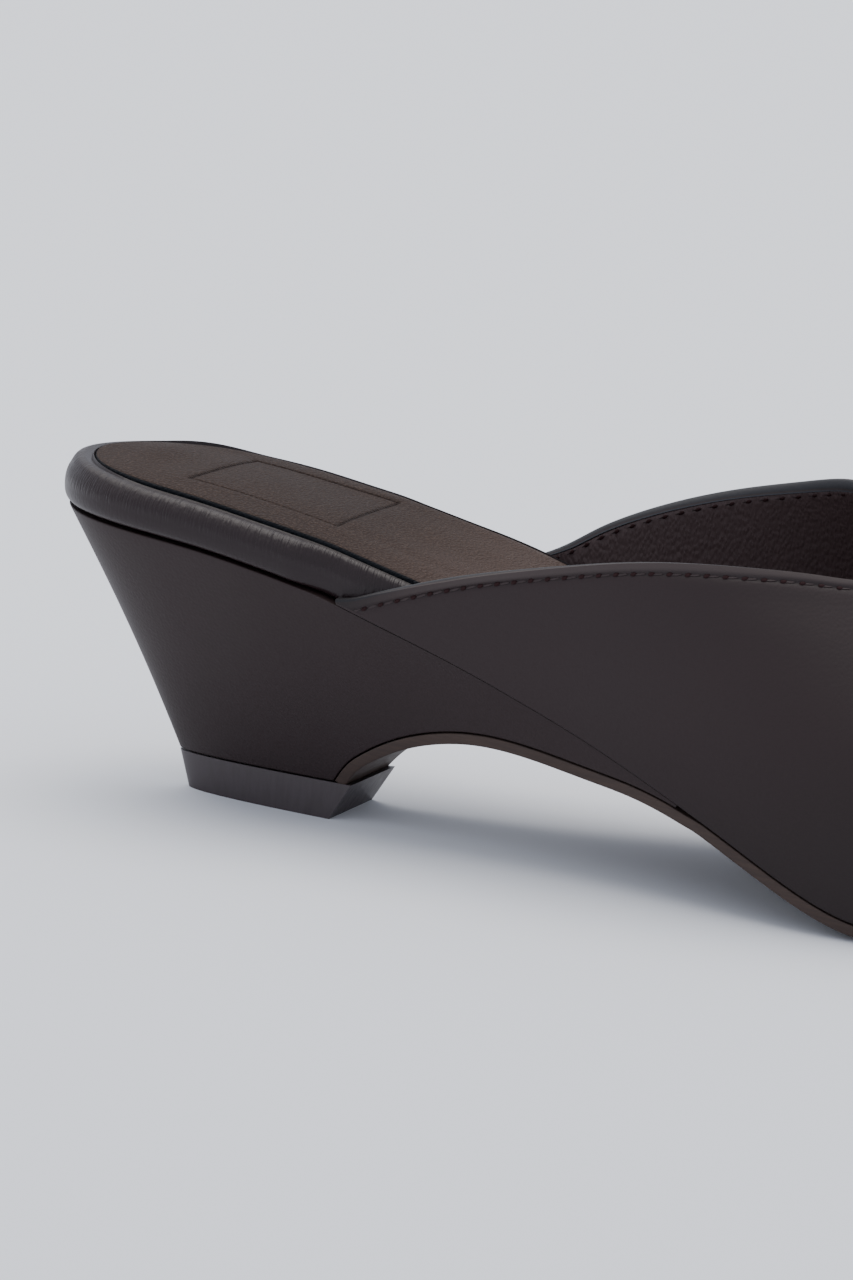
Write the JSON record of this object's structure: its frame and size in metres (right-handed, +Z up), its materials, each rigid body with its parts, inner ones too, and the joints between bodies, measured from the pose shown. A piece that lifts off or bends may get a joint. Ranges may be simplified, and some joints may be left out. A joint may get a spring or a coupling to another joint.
{
  "type": "pointed toe mule",
  "caption": "Right shoe: a backless slip-on with a closed pointed toe, a wrapped padded footbed and a low leather-covered wedge heel.",
  "frame": {"origin": "on the floor, under the middle of the shoe's bounding box", "axes": "+X to the toe, +Y to the inner (medial) side of the right foot, +Z up"},
  "size_m": [0.262, 0.0772, 0.0702],
  "materials": {
    "upper_leather": "smooth calf, very dark brown, soft sheen",
    "rim_leather": "smooth calf pulled over the board's edge, very dark brown",
    "sock_leather": "matt lining leather, dark brown, fine grain",
    "sole_leather": "dyed sole leather, waxed edge",
    "lift_plastic": "hard, semi-gloss"
  },
  "bodies": {
    "root": {"outsole": "sole_leather", "heel_wedge": "upper_leather", "top_lift": "lift_plastic", "insole": "rim_leather", "sock": "sock_leather", "upper": "upper_leather"}
  },
  "joints": []
}
